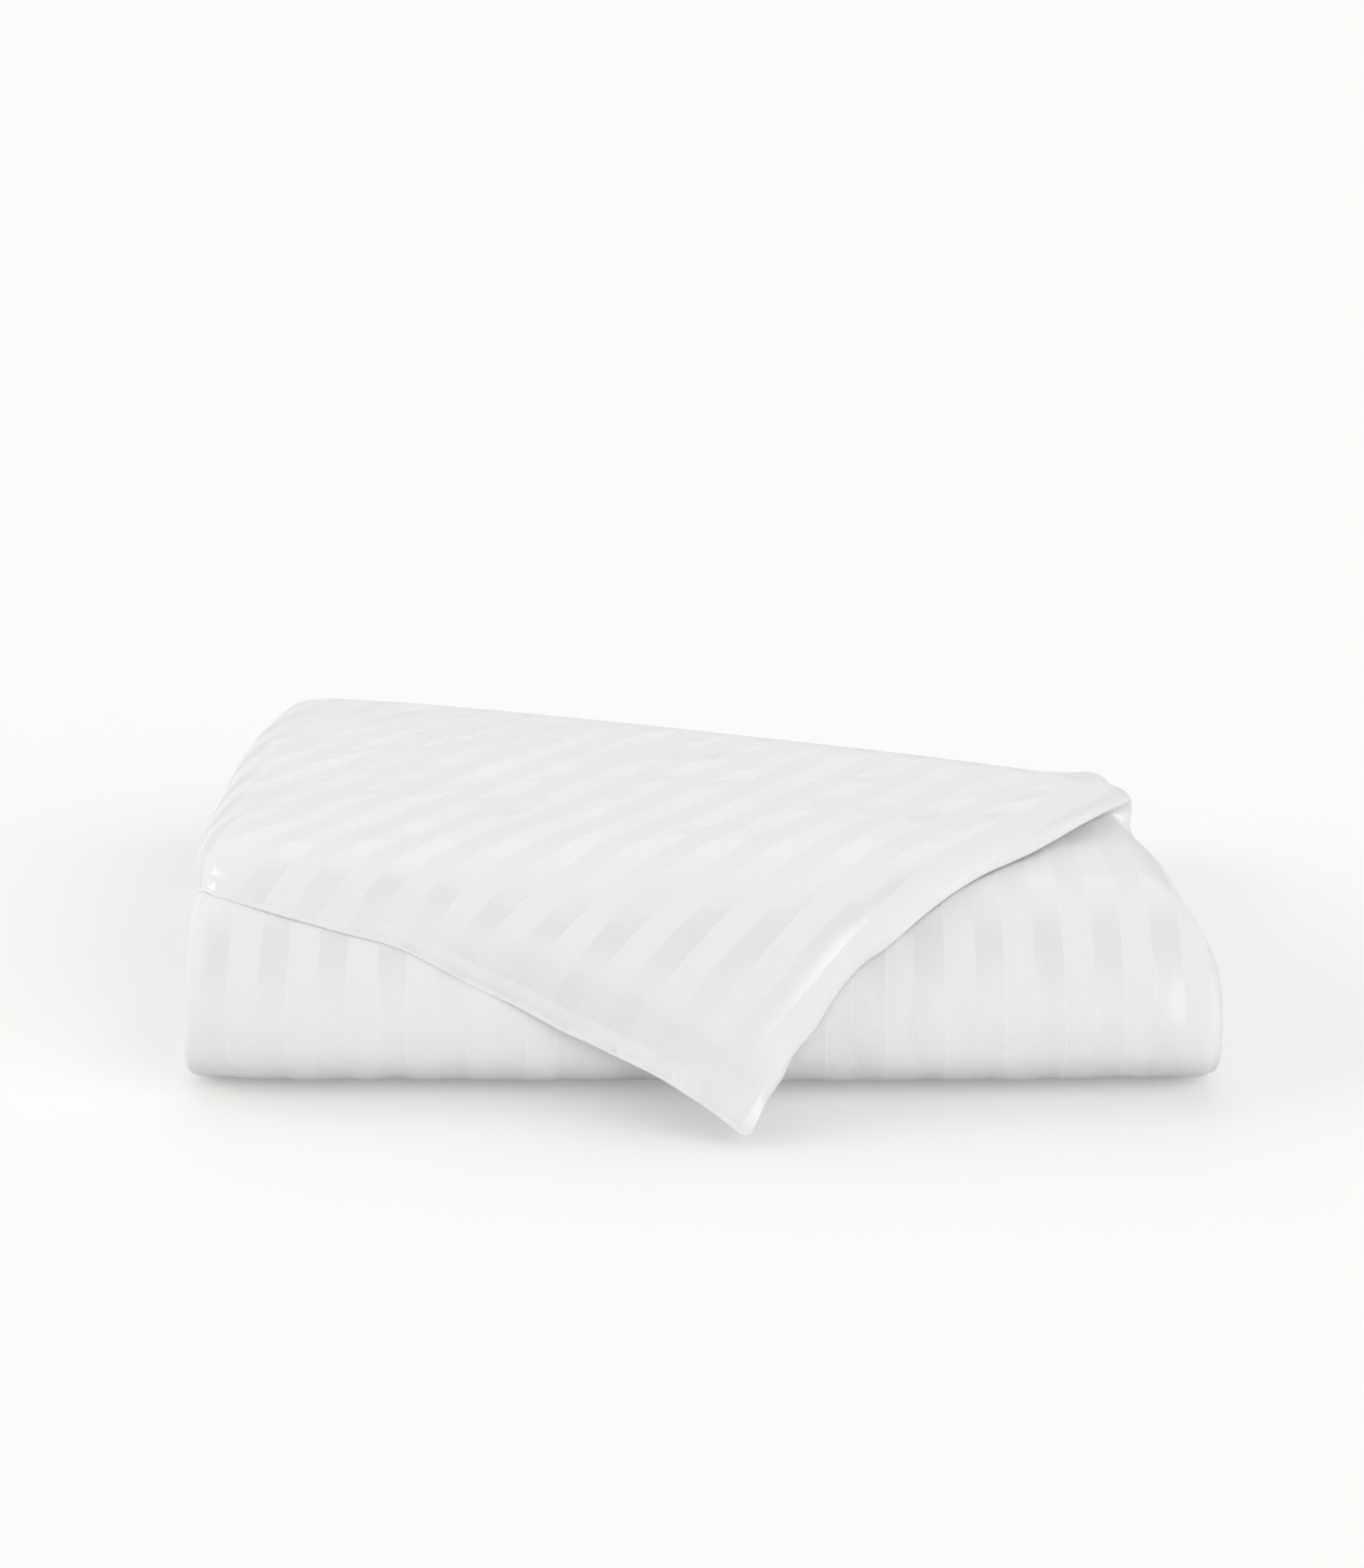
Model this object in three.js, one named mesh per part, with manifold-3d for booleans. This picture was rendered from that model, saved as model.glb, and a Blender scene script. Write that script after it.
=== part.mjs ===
// A filled, striped duvet cover, folded into a low stack, with its top layer turned so that one corner hangs
// over the front. Millimetres, +Z up, front towards -Y, standing on Z = 0, with the origin at its bottom centre.

import * as THREE from 'three';
import { mergeVertices } from 'three/addons/utils/BufferGeometryUtils.js';
import Module from 'manifold-3d';

// Driving dimensions of the folded stack
const LAYER = 45; // thickness of one folded layer
const AIR = 3; // gap between two layers
const DEPTH = 520; // front to back
const SEAM = 1.5; // thickness at a sewn edge
const EDGE_ROUND = 26; // how far in from a side edge the filling is full
const LEAN = 0.435; // how far the front fold leans back for each millimetre of height above its foot
const LEAN_FROM = 23; // height at which the lean starts
const FOOT_FORWARD = 13; // how far the foot of the front fold comes forward
const FOOT_TUCK = { back: 10, below: 40 }; // the foot is tucked in again by this much below this height
const LEAN_FADES = { from: 120, to: 300 }; // the lean dies out between these distances from the front
const FRONT_BOW = 9; // how far the ends of the front fold stand back from its middle
const LEFT_BULGE = {
  out: 13, // how far the left side bulges out near the front
  x: { from: 250, to: 350 }, // it grows between these distances from the middle
  y: { from: 80, to: 190 }, // it dies out between these distances from the front
};
const CROWN = {
  side: 0.045, // share by which the stack is lower at its sides
  back: 0.06, // share by which it is lower at its back
  backFrom: 280, // distance from the front at which it starts to get lower
};
const EDGE_SQUARE = 2.5; // 2 makes the side edges elliptical, more makes them squarer

// Driving dimensions of the turned-down top layer
const FLAP_THICK = 22; // thickness of the single layer
const FLAP_CLEAR = 2; // it lies this far above the stack
const FLAP_BEND_AT = 120; // distance from the front at which it starts to bend down
const FLAP_BEND_RADIUS = 139; // radius of that bend, at mid thickness
const FLAP_SLOPE = THREE.MathUtils.degToRad(54); // slope at which it hangs in front
const SHOULDER_AT = -348; // x at which it starts to bend over the left side
const SHOULDER_RADIUS = 31; // radius of that bend, at mid thickness
const FLAP_EDGE_ROUND = 40; // how far in from its right edge the filling is full
const CORNER_HANGS_FREE = { from: 150, to: 225 }; // forward of this the hem no longer lies on the stack
const HEM_ROUND = 34; // how far in from its hem the filling is full
const TURN = THREE.MathUtils.degToRad(40); // turn of the top layer against the stack
const FOLD_SKEW = TURN / 2; // slant of the back fold that turns it
const FOLD_RIGHT = { x: 336, y: 262 }; // right end of that fold
const FOLD_LEFT_X = -356; // left end of that fold

// Side edges of the stack: half widths to the left and right on each run of the folded strip
const EDGES = {
  top_back: { left: 362, right: 335 },
  top_front: { left: 366, right: 356 },
  front: { left: 364, right: 377 },
  bottom_front: { left: 367, right: 376 },
  bottom_back: { left: 362, right: 370 },
  middle: { left: 360, right: 363 },
};

// How late the side edges of the front fold are pulled in towards its top, as a power
const PULL_IN = 3;

// Outline of the turned-down layer, laid flat: x to the right, and forward from the start of the front bend
const HEM = [
  { x: 31, forward: 244 },
  { x: -35, forward: 197 },
  { x: -103, forward: 163 },
  { x: -166, forward: 131 },
  { x: -225, forward: 97 },
  { x: -304, forward: 63 },
  { x: -362, forward: 27 },
  { x: -475, forward: -66 },
];
const RIGHT_EDGE = [
  { x: 31, forward: 244 },
  { x: 45, forward: 216 },
  { x: 76, forward: 170 },
  { x: 112, forward: 125 },
  { x: 145, forward: 88 },
];

// Spacing of the grid on the turned-down layer
const HEM_CROWDING = 1.25; // power that brings the rows closer together at the hem
const SIDE_EASING = 0.12; // softens the cosine spacing that brings the columns closer at both sides

// Number of steps along each run and across
const STEPS = { top: 9, front: 12, bottom: 8, back: 9, middle: 8, across: 14, edge: 4, cap: 4 };
const FLAP_STEPS = { along: 28, across: 30, tail: 8 };

// Heights worked out from the layers
const HALF = LAYER / 2;
const BOTTOM_Z = HALF;
const MIDDLE_Z = BOTTOM_Z + LAYER + AIR;
const TOP_Z = MIDDLE_Z + LAYER + AIR;
const STACK_TOP = TOP_Z + HALF;
const FRONT_RADIUS = (TOP_Z - BOTTOM_Z) / 2;
const BACK_RADIUS = (MIDDLE_Z - BOTTOM_Z) / 2;
const FRONT_CENTRE_Y = FRONT_RADIUS + HALF;
const BACK_CENTRE_Y = DEPTH - BACK_RADIUS - HALF;
const MIDDLE_FRONT_Y = FRONT_CENTRE_Y - FRONT_RADIUS + HALF + AIR;
const HALF_WIDTH = EDGES.front.right;
const FLAP_HALF = FLAP_THICK / 2;
const FLAP_Z = STACK_TOP + FLAP_CLEAR + FLAP_HALF;

const clamp = THREE.MathUtils.clamp;
const lerp = THREE.MathUtils.lerp;
const smooth = (value, from, to) => THREE.MathUtils.smoothstep(value, from, to);

// Soft forms of the whole stack

// The stack is lower towards its sides and its back
function crown(x, y) {
  const side = CROWN.side * Math.pow(clamp(Math.abs(x) / HALF_WIDTH, 0, 1), 4);
  const back = CROWN.back * Math.pow(clamp((y - CROWN.backFrom) / (DEPTH - CROWN.backFrom), 0, 1), 2);
  return 1 - side - back;
}

// The left side bulges out near the front
function bulge(point) {
  const { out, x, y } = LEFT_BULGE;
  point.x -= out * smooth(-point.x, x.from, x.to) * (1 - smooth(point.y, y.from, y.to));
  return point;
}

// The front fold leans back at the top and comes forward at the foot
function settle(point) {
  const softened = (point.z * point.z) / (4 * LEAN_FROM);
  const height = point.z < 2 * LEAN_FROM ? softened : point.z - LEAN_FROM;
  const tuck = FOOT_TUCK.back * Math.pow(clamp(1 - point.z / FOOT_TUCK.below, 0, 1), 2);
  const bow = FRONT_BOW * Math.pow(Math.abs(point.x) / HALF_WIDTH, 3);
  const reach = 1 - smooth(point.y, LEAN_FADES.from, LEAN_FADES.to);
  point.y += (LEAN * height - FOOT_FORWARD + tuck + bow) * reach;
  point.z *= crown(point.x, point.y);
  return bulge(point);
}

// A filled sheet: a closed solid from a grid of middle points with outward directions and half thicknesses.
// Seen from outside, its rows run upwards and its columns to the right.
function filledSheet(grid) {
  const rows = grid.length;
  const columns = grid[0].length;
  const positions = [];
  for (const side of [1, -1]) {
    for (const row of grid) {
      for (const { middle, outward, half } of row) {
        const point = middle.clone().addScaledVector(outward, side * half);
        positions.push(point.x, point.y, point.z);
      }
    }
  }
  const at = (side, row, column) => side * rows * columns + row * columns + column;
  const outwardAt = (index) => grid[Math.floor(index / columns) % rows][index % columns].outward;
  const faces = [];
  // Each cell is cut along the diagonal that bends less
  const quad = (a, b, c, d) => {
    if (outwardAt(a).dot(outwardAt(c)) >= outwardAt(b).dot(outwardAt(d))) {
      faces.push(a, b, c, a, c, d);
    } else {
      faces.push(b, c, d, b, d, a);
    }
  };
  for (let i = 0; i < rows - 1; i += 1) {
    for (let j = 0; j < columns - 1; j += 1) {
      quad(at(0, i, j), at(0, i, j + 1), at(0, i + 1, j + 1), at(0, i + 1, j));
      quad(at(1, i, j), at(1, i + 1, j), at(1, i + 1, j + 1), at(1, i, j + 1));
    }
  }
  for (let i = 0; i < rows - 1; i += 1) {
    const last = columns - 1;
    quad(at(0, i, 0), at(0, i + 1, 0), at(1, i + 1, 0), at(1, i, 0));
    quad(at(0, i + 1, last), at(0, i, last), at(1, i, last), at(1, i + 1, last));
  }
  for (let j = 0; j < columns - 1; j += 1) {
    const last = rows - 1;
    quad(at(0, 0, j + 1), at(0, 0, j), at(1, 0, j), at(1, 0, j + 1));
    quad(at(0, last, j), at(0, last, j + 1), at(1, last, j + 1), at(1, last, j));
  }
  const geometry = new THREE.BufferGeometry();
  geometry.setAttribute('position', new THREE.Float32BufferAttribute(positions, 3));
  geometry.setIndex(faces);
  return geometry;
}

// Columns across a sheet: place from 0 to 1, inset from the nearer edge, and share of the full thickness
function acrossColumns(inner, edge) {
  const columns = [];
  const rounding = (index) => {
    const angle = (Math.PI / 2) * (index / edge);
    const inset = 1 - Math.pow(Math.cos(angle), 2 / EDGE_SQUARE);
    return { inset: index === edge ? 1 : inset, full: Math.pow(Math.sin(angle), 2 / EDGE_SQUARE) };
  };
  for (let i = 0; i <= edge; i += 1) {
    columns.push({ side: 0, ...rounding(i) });
  }
  for (let i = 1; i < inner; i += 1) {
    columns.push({ side: i / inner, inset: 1, full: 1 });
  }
  for (let i = edge; i >= 0; i -= 1) {
    columns.push({ side: 1, ...rounding(i) });
  }
  return columns;
}

// The folded strip

// Y of the slanted end of the top run, which the turned-down layer wraps round
function slantedEnd(x) {
  return FOLD_RIGHT.y + (FOLD_RIGHT.x - x) * Math.tan(FOLD_SKEW);
}

function sides(from, to, t) {
  const share = smooth(t, 0, 1);
  return { left: lerp(from.left, to.left, share), right: lerp(from.right, to.right, share) };
}

// Stations along the strip: side edges, half thickness, and the middle point and outward direction at an x
function stripStations() {
  const stations = [];
  const add = (edges, half, place) => stations.push({ edges, half: Math.max(half, SEAM / 2), place });
  const cap = (index) => {
    const angle = (Math.PI / 2) * (index / STEPS.cap);
    return { inset: HALF * (1 - Math.cos(angle)), half: HALF * Math.sin(angle) };
  };
  for (let i = 0; i < STEPS.cap; i += 1) {
    const { inset, half } = cap(i);
    add(EDGES.top_back, half, (x) => ({ y: slantedEnd(x) - inset, z: TOP_Z, turn: 0 }));
  }
  for (let i = 0; i <= STEPS.top; i += 1) {
    const t = i / STEPS.top;
    const edges = sides(EDGES.top_back, EDGES.top_front, t);
    add(edges, HALF, (x) => ({ y: lerp(slantedEnd(x) - HALF, FRONT_CENTRE_Y, t), z: TOP_Z, turn: 0 }));
  }
  for (let i = 1; i < STEPS.front; i += 1) {
    const turn = Math.PI * (i / STEPS.front);
    const low = smooth(turn, Math.PI / 2, Math.PI);
    const pull = Math.pow(Math.max(Math.cos(turn), 0), PULL_IN);
    const upper = {
      left: lerp(EDGES.front.left, EDGES.top_front.left, pull),
      right: lerp(EDGES.front.right, EDGES.top_front.right, pull),
    };
    add(sides(upper, EDGES.bottom_front, low), HALF, () => ({
      y: FRONT_CENTRE_Y - FRONT_RADIUS * Math.sin(turn),
      z: BOTTOM_Z + FRONT_RADIUS + FRONT_RADIUS * Math.cos(turn),
      turn,
    }));
  }
  for (let i = 0; i <= STEPS.bottom; i += 1) {
    const t = i / STEPS.bottom;
    const edges = sides(EDGES.bottom_front, EDGES.bottom_back, t);
    add(edges, HALF, () => ({ y: lerp(FRONT_CENTRE_Y, BACK_CENTRE_Y, t), z: BOTTOM_Z, turn: Math.PI }));
  }
  for (let i = 1; i < STEPS.back; i += 1) {
    const turn = Math.PI + Math.PI * (i / STEPS.back);
    add(sides(EDGES.bottom_back, EDGES.middle, i / STEPS.back), HALF, () => ({
      y: BACK_CENTRE_Y - BACK_RADIUS * Math.sin(turn),
      z: BOTTOM_Z + BACK_RADIUS + BACK_RADIUS * Math.cos(turn),
      turn,
    }));
  }
  for (let i = 0; i <= STEPS.middle; i += 1) {
    const t = i / STEPS.middle;
    const y = lerp(BACK_CENTRE_Y, MIDDLE_FRONT_Y + HALF, t);
    add(EDGES.middle, HALF, () => ({ y, z: MIDDLE_Z, turn: 2 * Math.PI }));
  }
  for (let i = STEPS.cap - 1; i >= 0; i -= 1) {
    const { inset, half } = cap(i);
    add(EDGES.middle, half, () => ({ y: MIDDLE_FRONT_Y + inset, z: MIDDLE_Z, turn: 2 * Math.PI }));
  }
  return stations;
}

function foldedStrip() {
  const columns = acrossColumns(STEPS.across, STEPS.edge);
  const grid = stripStations().map(({ edges, half, place }) =>
    columns.map(({ side, inset, full }) => {
      const left = -edges.left + EDGE_ROUND;
      const right = edges.right - EDGE_ROUND;
      const outside = EDGE_ROUND * (1 - inset) * (side < 0.5 ? -1 : 1);
      const x = lerp(left, right, side) + outside;
      const { y, z, turn } = place(x);
      return {
        middle: new THREE.Vector3(x, y, z),
        outward: new THREE.Vector3(0, -Math.sin(turn), Math.cos(turn)),
        half: Math.max(half * full, SEAM / 2),
      };
    }),
  );
  const geometry = filledSheet(grid.reverse());
  bendPoints(geometry, settle);
  return geometry;
}

function bendPoints(geometry, change) {
  const position = geometry.getAttribute('position');
  const point = new THREE.Vector3();
  for (let i = 0; i < position.count; i += 1) {
    point.fromBufferAttribute(position, i);
    change(point);
    position.setXYZ(i, point.x, point.y, Math.abs(point.z) < 0.01 ? 0 : point.z);
  }
}

// The turned-down layer

// Distance forward and drop after going a distance over a bend, then straight on at its end slope
function overBend(distance, radius, slope) {
  if (distance <= 0) {
    return { forward: distance, drop: 0 };
  }
  const angle = Math.min(distance / radius, slope);
  const rest = distance - angle * radius;
  return {
    forward: radius * Math.sin(angle) + rest * Math.cos(slope),
    drop: radius * (1 - Math.cos(angle)) + rest * Math.sin(slope),
  };
}

// A point of the layer laid flat goes to its place over the front and the left side
function drape(x, forward) {
  const front = overBend(forward, FLAP_BEND_RADIUS, FLAP_SLOPE);
  const left = overBend(SHOULDER_AT - x, SHOULDER_RADIUS, Math.PI / 2);
  const point = new THREE.Vector3();
  point.x = SHOULDER_AT - left.forward;
  point.y = FLAP_BEND_AT - front.forward;
  point.z = FLAP_Z - front.drop - left.drop;
  point.z *= crown(point.x, point.y);
  return bulge(point);
}

function outline(rows) {
  return new THREE.SplineCurve(rows.map(({ x, forward }) => new THREE.Vector2(x, forward)));
}

const hemCurve = outline(HEM);
const foldForward = (x) => FLAP_BEND_AT - slantedEnd(x) + HALF;
const rightCurve = outline([...RIGHT_EDGE, { x: FOLD_RIGHT.x, forward: foldForward(FOLD_RIGHT.x) }]);
const hemLeft = HEM[HEM.length - 1];
const leftCurve = new THREE.LineCurve(
  new THREE.Vector2(hemLeft.x, hemLeft.forward),
  new THREE.Vector2(FOLD_LEFT_X, foldForward(FOLD_LEFT_X)),
);

// Flat place of the layer: along from the hem (0) to the back fold (1), across from left (0) to right (1)
function flatPlace(along, across) {
  const left = leftCurve.getPointAt(along);
  const right = rightCurve.getPointAt(along);
  const chord = leftCurve.getPointAt(0).lerp(rightCurve.getPointAt(0), across);
  const sag = hemCurve.getPointAt(1 - across).sub(chord);
  return left.lerp(right, across).addScaledVector(sag, Math.pow(1 - along, 3));
}

// Share of the full thickness at a distance from an edge, as the quarter of an ellipse
function edgeShare(distance, round) {
  const inside = clamp(distance / round, 0, 1);
  return Math.sqrt(1 - (1 - inside) * (1 - inside));
}

// The tail wraps round the slanted end of the top run and goes into it
function tailPlace(turn, across) {
  const flat = flatPlace(1, across);
  const start = drape(flat.x, flat.y);
  const centre = TOP_Z * crown(start.x, start.y);
  const tight = smooth(turn, Math.PI / 3, (3 * Math.PI) / 4);
  const radius = lerp(start.z - centre, HALF / 2, tight);
  start.x += Math.sin(FOLD_SKEW) * radius * Math.sin(turn);
  start.y += Math.cos(FOLD_SKEW) * radius * Math.sin(turn);
  start.z = centre + radius * Math.cos(turn);
  return start;
}

// Flat place of a grid point of the layer
function flatAt(row, across) {
  const along = Math.min(row / FLAP_STEPS.along, 1);
  const flat = flatPlace(Math.pow(along, HEM_CROWDING), across);
  return { x: flat.x, forward: flat.y };
}

function flapPoint(row, across) {
  if (row <= FLAP_STEPS.along) {
    const { x, forward } = flatAt(row, across);
    return drape(x, forward);
  }
  const turn = ((3 * Math.PI) / 4) * ((row - FLAP_STEPS.along) / FLAP_STEPS.tail);
  return tailPlace(turn, across);
}

function turnedLayer() {
  const rows = FLAP_STEPS.along + FLAP_STEPS.tail;
  const spacing = (j) => {
    const step = j / FLAP_STEPS.across;
    return 0.5 - 0.5 * Math.cos(Math.PI * lerp(step, 0.5, SIDE_EASING));
  };
  const first = spacing(0);
  const across = (j) => (spacing(j) - first) / (1 - 2 * first);
  const middles = [];
  for (let i = 0; i <= rows; i += 1) {
    const row = [];
    for (let j = 0; j <= FLAP_STEPS.across; j += 1) {
      row.push(flapPoint(i, across(j)));
    }
    middles.push(row);
  }
  const grid = middles.map((row, i) => {
    const width = row.reduce((sum, point, j) => sum + (j ? point.distanceTo(row[j - 1]) : 0), 0);
    return row.map((middle, j) => {
      const ahead = middles[Math.min(i + 1, rows)][j];
      const behind = middles[Math.max(i - 1, 0)][j];
      const right = row[Math.min(j + 1, FLAP_STEPS.across)];
      const left = row[Math.max(j - 1, 0)];
      const outward = right.clone().sub(left).cross(ahead.clone().sub(behind)).normalize();
      let toHem = 0;
      for (let k = i; k > 0; k -= 1) {
        toHem += middles[k][j].distanceTo(middles[k - 1][j]);
      }
      const toSide = width * Math.min(across(j), 1 - across(j));
      const hemHalf = Math.max(FLAP_HALF * edgeShare(toHem, HEM_ROUND), SEAM / 2);
      const { forward } = flatAt(i, across(j));
      const lying = 1 - smooth(forward, CORNER_HANGS_FREE.from, CORNER_HANGS_FREE.to);
      const lowered = middle.clone().addScaledVector(outward, (hemHalf - FLAP_HALF) * lying);
      const half = Math.max(hemHalf * edgeShare(toSide, FLAP_EDGE_ROUND), SEAM / 2);
      return { middle: lowered, outward, half };
    });
  });
  return filledSheet(grid);
}

// One closed solid from the two sewn-together stretches of the cover
const wasm = await Module();
wasm.setup();

function toSolid(geometry) {
  const merged = mergeVertices(geometry);
  const vertProperties = new Float32Array(merged.getAttribute('position').array);
  const triVerts = new Uint32Array(merged.getIndex().array);
  return new wasm.Manifold(new wasm.Mesh({ numProp: 3, vertProperties, triVerts }));
}

function toGeometry(solid) {
  const mesh = solid.getMesh();
  const geometry = new THREE.BufferGeometry();
  geometry.setAttribute('position', new THREE.Float32BufferAttribute(mesh.vertProperties, 3));
  geometry.setIndex(Array.from(mesh.triVerts));
  return geometry;
}

const cover = toGeometry(toSolid(foldedStrip()).add(toSolid(turnedLayer())));
cover.computeBoundingBox();
const middle = cover.boundingBox.getCenter(new THREE.Vector3());
cover.translate(-middle.x, -middle.y, -cover.boundingBox.min.z);
cover.computeVertexNormals();

const cotton = new THREE.MeshStandardMaterial({ color: 0xf3f2f0, roughness: 0.7, metalness: 0 });
const coverMesh = new THREE.Mesh(cover, cotton);
coverMesh.name = 'folded_duvet_cover';

const foldedDuvetCover = new THREE.Group();
foldedDuvetCover.add(coverMesh);

export default foldedDuvetCover;
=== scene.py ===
import math

import bmesh
import bpy
import numpy as np
from mathutils import Matrix, Vector, noise


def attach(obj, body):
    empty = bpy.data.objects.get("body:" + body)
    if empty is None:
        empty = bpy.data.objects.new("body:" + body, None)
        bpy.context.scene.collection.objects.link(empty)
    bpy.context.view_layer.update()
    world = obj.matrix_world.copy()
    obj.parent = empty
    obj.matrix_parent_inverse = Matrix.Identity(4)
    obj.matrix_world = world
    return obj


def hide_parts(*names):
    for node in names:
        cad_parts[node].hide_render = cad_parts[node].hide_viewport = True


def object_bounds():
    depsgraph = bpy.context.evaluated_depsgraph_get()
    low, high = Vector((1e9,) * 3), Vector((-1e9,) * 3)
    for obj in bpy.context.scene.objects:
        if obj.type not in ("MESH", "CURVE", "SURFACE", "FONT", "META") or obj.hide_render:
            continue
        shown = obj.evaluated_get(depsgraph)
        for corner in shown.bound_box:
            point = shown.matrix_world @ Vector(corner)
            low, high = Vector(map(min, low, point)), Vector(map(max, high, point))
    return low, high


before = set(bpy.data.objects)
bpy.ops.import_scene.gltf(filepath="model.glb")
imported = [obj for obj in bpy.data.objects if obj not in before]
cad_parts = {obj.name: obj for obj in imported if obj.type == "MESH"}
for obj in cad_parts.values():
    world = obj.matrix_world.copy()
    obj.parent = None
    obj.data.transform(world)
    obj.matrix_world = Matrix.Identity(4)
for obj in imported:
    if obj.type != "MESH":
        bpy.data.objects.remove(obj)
CAD_LOW, CAD_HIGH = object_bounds()

bl_info = {
    "name": "Folded Duvet Cover",
    "version": (1, 0, 0),
    "blender": (4, 5, 0),
    "location": "View3D > Sidebar > Duvet Cover",
    "description": "A filled satin-stripe duvet cover, folded, with one corner hanging over its front",
    "category": "Object",
}

MM = 0.001
NODE = "folded_duvet_cover"

# The stack: the front is at y = 0, its right side at x = HALF_WIDTH, and it stands on z = 0
HALF_WIDTH = 0.377
BACK_EDGE = 0.5193  # how far behind the front the settled back fold reaches
DEPTH = 0.520  # of the stack before it settles
SEAM = 0.0012  # thickness where a filled layer ends
EDGE_ROUND = 0.026
EDGE_SQUARE = 2.5  # 2 makes the side edges elliptical, more makes them squarer
FOOT_SQUARE = 5  # the same for the foot of the front fold
# The strip turns by half a turn at each fold, and these are the turns over which that foot begins and ends
FOOT_BEGINS, FOOT_ENDS = (0.45 * math.pi, 0.80 * math.pi), (1.10 * math.pi, 1.50 * math.pi)
LEAN, LEAN_FROM = 0.435, 0.023  # how far the front leans back for its height, and where that begins
LEAN_FADES = (0.120, 0.300)  # distances behind the front over which the lean ends
FOOT_FORWARD = 0.013
FOOT_TUCK, FOOT_TUCKS_BELOW = 0.010, 0.040  # the foot is tucked in again below this height
FRONT_BOW = 0.009  # how far the front curves back towards its two ends
CROWN_SIDE, CROWN_BACK, CROWN_BACK_FROM = 0.045, 0.06, 0.280  # shares of the height
BULGE_OUT, BULGE_X, BULGE_Y = 0.013, (0.250, 0.350), (0.080, 0.190)
PULL_IN = 3  # how late the side edges of the front fold are pulled in towards its top, as a power

# Half widths of the stack to the left and right along its folded strip
EDGES = {
    "top_back": (0.362, 0.335),
    "top_front": (0.366, 0.356),
    "front": (0.364, 0.377),
    "bottom_front": (0.367, 0.376),
    "bottom_back": (0.362, 0.370),
    "middle": (0.360, 0.363),
}

# The turned-down layer
FLAP_CLEAR = 0.002
BEND_AT = 0.120
BEND_RADIUS = 0.139
BEND_SLOPE = math.radians(54)
BEND_OUTSIDE = 0.011  # the cloth lies this far outside the middle of the bent layer
SHOULDER_AT = -0.348
SHOULDER_RADIUS = 0.031
FLAP_EDGE_ROUND, FLAP_EDGE_SQUARE = 0.036, 2.0
CORNER_HANGS_FREE = (0.150, 0.225)  # it lies on the stack up to the first distance forward
TURN = math.radians(40)
FOLD_SKEW = TURN / 2  # a fold at half the angle turns the layer by all of it
FOLD_RIGHT = (0.336, 0.262)
FOLD_LEFT_X = -0.356
TAIL_TUCKS = ((0.002, 0.985), (0.006, 0.96), (0.006, 0.02))  # into the top run: distance, share of thickness
TAIL_STEP = 0.002

# Its outline laid flat in millimetres: to the right, and forward from the start of the front bend
HEM = (
    (31, 244), (7, 225), (-13, 211), (-35, 197), (-64, 182), (-86, 171), (-103, 163), (-136, 145),
    (-166, 131), (-192, 115), (-225, 96), (-257, 85), (-284, 73), (-304, 63), (-323, 52), (-342, 41),
    (-362, 27), (-475, -66),
)
RIGHT_EDGE = (
    (31, 244), (43, 218), (56, 198), (65, 180), (79, 163), (90, 145), (102, 128), (115, 113), (130, 101),
    (145, 86), (166, 63), (208, 18),
)
TIP_BLUNT = 0.009  # the tip of the corner is rounded off within this distance
TIP_SIDES_AT = 0.02  # share of each edge's length over which the tip's two sides are measured
EDGE_SETTLES = 0.35  # share by which the right edge sinks where it hangs free; where it lies it sinks fully
EDGE_LIFTS = (0.70, 0.98)  # towards the back fold, as shares of the layer's length, it comes up again

# Filled height above the under side at distances in from the hem, in millimetres
HEM_RISE = (
    (0, 1.2), (0.5, 2.1), (1.6, 2.6), (3.0, 2.3), (3.8, 1.7),
    (4.6, 2.2), (6, 3.2), (9, 4.5), (12, 5.4), (15, 6.2),
)
HEM_FILLED_AT = 62
HEM_SINKS, HEM_SINK_OVER = 0.0030, 0.030  # the hem lies closer to the stack than the rest of the layer
HEM_FILL_POWER = 2.1

# Soft creases of the turned-down layer, laid flat in millimetres: from, to, depth and half width.
# A negative depth is the height of a soft ridge.
FLAP_CREASES = (
    ((-66, 178), (-50, 150), 1.6, 4.0),
    ((-12, 205), (6, 184), 1.3, 4.0),
    ((8, 216), (16, 200), 1.6, 3.0),
    ((20, 228), (30, 205), 1.4, 3.5),
    ((-226, 93), (-214, 80), 0.8, 4.0),
    ((-150, 132), (-128, 108), 0.8, 6.0),
    ((-103, 158), (-84, 128), 0.7, 6.0),
    ((-268, 76), (-246, 52), 0.7, 6.0),
    ((107, 81), (121, 91), 1.0, 4.5),
    ((121, 91), (127, 101), 1.0, 4.5),
    ((113, 121), (104, 116), 1.2, 3.0),
    ((30, 207), (92, 117), -1.8, 13.0),
)
# Soft creases of the front fold in millimetres: x and height from, to, depth and half width
FRONT_CREASES = (
    ((370, 78), (370, 6), 1.8, 2.6),
    ((150, 118), (146, 60), 0.7, 7.0),
    ((205, 58), (208, 14), 0.6, 5.0),
    ((262, 60), (268, 18), 0.6, 6.0),
    ((318, 70), (322, 26), 0.7, 6.0),
    ((-338, 96), (-341, 40), 0.6, 7.0),
    ((-262, 70), (-258, 22), 0.5, 6.0),
    ((-176, 60), (-172, 18), 0.5, 6.0),
    ((-104, 50), (-101, 16), 0.5, 6.0),
)

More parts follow.
